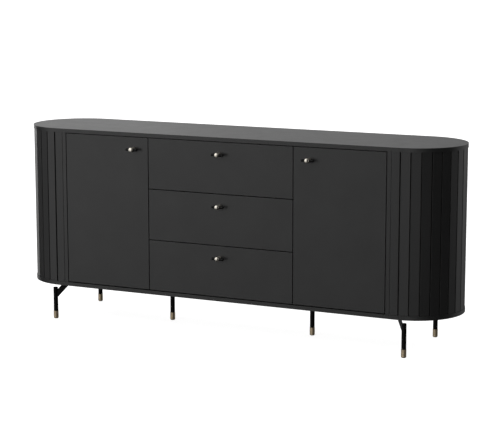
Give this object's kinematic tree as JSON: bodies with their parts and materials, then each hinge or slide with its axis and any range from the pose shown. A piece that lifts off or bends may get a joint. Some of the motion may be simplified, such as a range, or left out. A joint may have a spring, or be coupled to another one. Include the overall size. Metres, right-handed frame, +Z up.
{
  "type": "sideboard buffet",
  "caption": "Low cabinet with half-round slatted ends, cupboards behind hinged doors beside a bank of sliding drawers, standing on slim tubular legs.",
  "frame": {"origin": "on the floor, under the middle of the whole object's bounding box, knobs included", "axes": "+Z up, -Y towards the front with the doors and drawers, +X towards the right as seen from the front"},
  "size_m": [1.9, 0.428, 0.809],
  "materials": {
    "cabinet_black": "smooth matte lacquer",
    "slat_black": "smooth matte lacquer",
    "inner_board": "matte foil",
    "drawer_board": "matte grey foil",
    "hardboard": "matte painted hardboard",
    "leg_black": "fine matte powder coat",
    "bracket_black": "matte powder coat",
    "tip_gold": "satin champagne gold",
    "knob_brass": "polished champagne gold",
    "knob_black": "satin black",
    "hinge_steel": "nickel plated",
    "rail_steel": "zinc plated",
    "screw_steel": "zinc plated",
    "glide_plastic": "matte moulded plastic"
  },
  "bodies": {
    "cabinet": {"back_panel": "hardboard", "bottom_panel": "cabinet_black", "cabinet_rails": "rail_steel", "end_backing_left": "hardboard", "end_backing_right": "hardboard", "end_ribs": "inner_board", "end_slats_left": "slat_black", "end_slats_right": "slat_black", "hinge_mounts": "hinge_steel", "leg_arm_back_left": "bracket_black", "leg_arm_back_right": "bracket_black", "leg_arm_front_left": "bracket_black", "leg_arm_front_right": "bracket_black", "leg_back_left": "leg_black", "leg_back_right": "leg_black", "leg_front_left": "leg_black", "leg_front_right": "leg_black", "leg_glides": "glide_plastic", "leg_middle_left": "leg_black", "leg_middle_right": "leg_black", "leg_plates": "bracket_black", "leg_screws": "screw_steel", "leg_tips": "tip_gold", "partition_left": "inner_board", "partition_right": "inner_board", "shelf_left": "inner_board", "shelf_pins": "hinge_steel", "shelf_right": "inner_board", "side_panel_left": "cabinet_black", "side_panel_right": "cabinet_black", "top_panel": "cabinet_black"},
    "door_left": {"door_left_knob_bar": "knob_black", "door_left_knob_post": "knob_brass", "door_left_panel": "cabinet_black", "hinge_cups_left": "hinge_steel"},
    "door_right": {"door_right_knob_bar": "knob_black", "door_right_knob_post": "knob_brass", "door_right_panel": "cabinet_black", "hinge_cups_right": "hinge_steel"},
    "drawer_bottom": {"drawer_bottom_back": "drawer_board", "drawer_bottom_base": "hardboard", "drawer_bottom_front": "cabinet_black", "drawer_bottom_knob_bar": "knob_black", "drawer_bottom_knob_post": "knob_brass", "drawer_bottom_rails": "rail_steel", "drawer_bottom_sides": "drawer_board"},
    "drawer_middle": {"drawer_middle_back": "drawer_board", "drawer_middle_base": "hardboard", "drawer_middle_front": "cabinet_black", "drawer_middle_knob_bar": "knob_black", "drawer_middle_knob_post": "knob_brass", "drawer_middle_rails": "rail_steel", "drawer_middle_sides": "drawer_board"},
    "drawer_top": {"drawer_top_back": "drawer_board", "drawer_top_base": "hardboard", "drawer_top_front": "cabinet_black", "drawer_top_knob_bar": "knob_black", "drawer_top_knob_post": "knob_brass", "drawer_top_rails": "rail_steel", "drawer_top_sides": "drawer_board"}
  },
  "joints": [
    {"name": "door_left_hinge", "type": "hinge", "parent": "cabinet", "child": "door_left", "pos_m": [-0.704, -0.187, 0.479], "axis": [0, 0, -1], "range_deg": [0, 100]},
    {"name": "door_right_hinge", "type": "hinge", "parent": "cabinet", "child": "door_right", "pos_m": [0.704, -0.187, 0.479], "axis": [0, 0, 1], "range_deg": [0, 100]},
    {"name": "drawer_bottom_slide", "type": "slide", "parent": "cabinet", "child": "drawer_bottom", "axis": [0, -1, 0], "range_m": [0, 0.26]},
    {"name": "drawer_middle_slide", "type": "slide", "parent": "cabinet", "child": "drawer_middle", "axis": [0, -1, 0], "range_m": [0, 0.26]},
    {"name": "drawer_top_slide", "type": "slide", "parent": "cabinet", "child": "drawer_top", "axis": [0, -1, 0], "range_m": [0, 0.26]}
  ]
}
